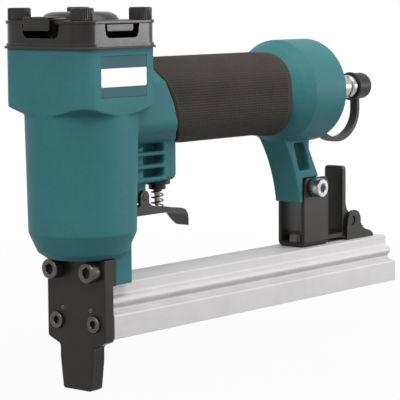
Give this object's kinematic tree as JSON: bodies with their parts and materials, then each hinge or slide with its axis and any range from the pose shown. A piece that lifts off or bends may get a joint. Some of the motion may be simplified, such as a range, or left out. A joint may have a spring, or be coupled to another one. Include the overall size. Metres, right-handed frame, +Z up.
{
  "type": "pneumatic upholstery stapler",
  "caption": "Hand-held air stapler with a barrel head, rubber-gripped handle, trigger, long aluminium staple magazine, latch and quick-connect air plug.",
  "frame": {"origin": "middle of the nose tip, on the axis that the driver blade moves along", "axes": "+Z up along the barrel, +Y back along the handle and the magazine, +X across the tool"},
  "size_m": [0.0482, 0.2287, 0.1557],
  "materials": {
    "teal_paint": "satin teal enamel on die-cast aluminium",
    "grip_rubber": "fine diamond-checked black rubber",
    "label_foil": "plain film",
    "black_cast": "moulded, satin black",
    "black_steel": "blackened steel with bright edges",
    "bright_steel": "plated",
    "alloy": "extruded, satin",
    "nitrile": "smooth",
    "cream_plastic": "satin cream",
    "cap_rubber": "smooth moulded"
  },
  "bodies": {
    "body": {"housing": "teal_paint", "grip_sleeve": "grip_rubber", "label_plate": "label_foil", "cylinder_cap": "black_cast", "cap_gasket": "nitrile", "exhaust_cover": "black_cast", "exhaust_deflector": "black_cast", "cap_bolts": "black_steel", "cylinder_liner": "bright_steel", "liner_orings": "nitrile", "bumper": "nitrile", "head_valve_spring": "bright_steel", "valve_bushing": "black_steel", "valve_spring": "bright_steel", "trigger_pin": "bright_steel", "trigger_spring": "bright_steel", "nose_plate": "black_steel", "guide_plate": "black_steel", "upper_nose_screws": "black_steel", "lower_nose_screws": "black_steel", "nose_dowels": "bright_steel", "magazine_body": "alloy", "rear_bracket": "black_steel", "bracket_bolt": "bright_steel", "bracket_washers": "bright_steel", "bracket_nut": "bright_steel", "magazine_screws": "black_steel", "latch_bracket": "black_steel", "latch_pin": "bright_steel", "latch_spring": "bright_steel", "tail_cap": "teal_paint", "tail_oring": "nitrile", "air_plug": "bright_steel", "cap_strap": "cap_rubber"},
    "trigger": {"trigger": "black_steel"},
    "valve_stem": {"valve_stem": "cream_plastic", "stem_oring": "nitrile"},
    "piston": {"piston": "alloy", "piston_oring": "nitrile", "driver_blade": "bright_steel", "driver_pin": "bright_steel"},
    "head_valve": {"head_valve": "alloy", "head_valve_seal": "nitrile"},
    "staple_rail": {"staple_rail": "bright_steel", "rail_end_block": "black_steel", "spring_rod": "bright_steel", "pusher_spring": "bright_steel"},
    "pusher": {"pusher": "bright_steel"},
    "latch": {"latch_lever": "black_steel"},
    "dust_cap": {"dust_cap": "cap_rubber"}
  },
  "joints": [
    {"name": "trigger_pull", "type": "hinge", "parent": "body", "child": "trigger", "pos_m": [0, 0.03, 0.0768], "axis": [1, 0, 0], "range_deg": [0, 10], "stiffness_Nm_per_rad": 0.5, "springref_deg": -2.29, "deforming": ["trigger_spring"]},
    {"name": "stem_slide", "type": "slide", "parent": "body", "child": "valve_stem", "axis": [0, 0, 1], "range_m": [0, 0.0028], "deforming": ["valve_spring"]},
    {"name": "piston_stroke", "type": "slide", "parent": "body", "child": "piston", "axis": [0, 0, -1], "range_m": [0, 0.0395]},
    {"name": "head_valve_lift", "type": "slide", "parent": "body", "child": "head_valve", "axis": [0, 0, 1], "range_m": [0, 0.004], "stiffness_N_per_m": 600, "springref_m": -0.002, "deforming": ["head_valve_spring"]},
    {"name": "rail_slide", "type": "slide", "parent": "body", "child": "staple_rail", "axis": [0, 1, 0], "range_m": [0, 0.12]},
    {"name": "pusher_slide", "type": "slide", "parent": "staple_rail", "child": "pusher", "axis": [0, 1, 0], "range_m": [0, 0.1], "stiffness_N_per_m": 40, "springref_m": -0.03, "deforming": ["pusher_spring"]},
    {"name": "latch_tilt", "type": "hinge", "parent": "body", "child": "latch", "pos_m": [0, 0.1808, 0.0525], "axis": [-1, 0, 0], "range_deg": [0, 12], "stiffness_Nm_per_rad": 0.3, "springref_deg": -2.86, "deforming": ["latch_spring"]},
    {"name": "dust_cap_pull", "type": "slide", "parent": "body", "child": "dust_cap", "axis": [0, 1, 0], "range_m": [0, 0.014], "deforming": ["cap_strap"]}
  ],
  "couplings": [
    {"joint": "trigger_pull", "follows": "stem_slide", "rad_per_m": 61.3}
  ]
}
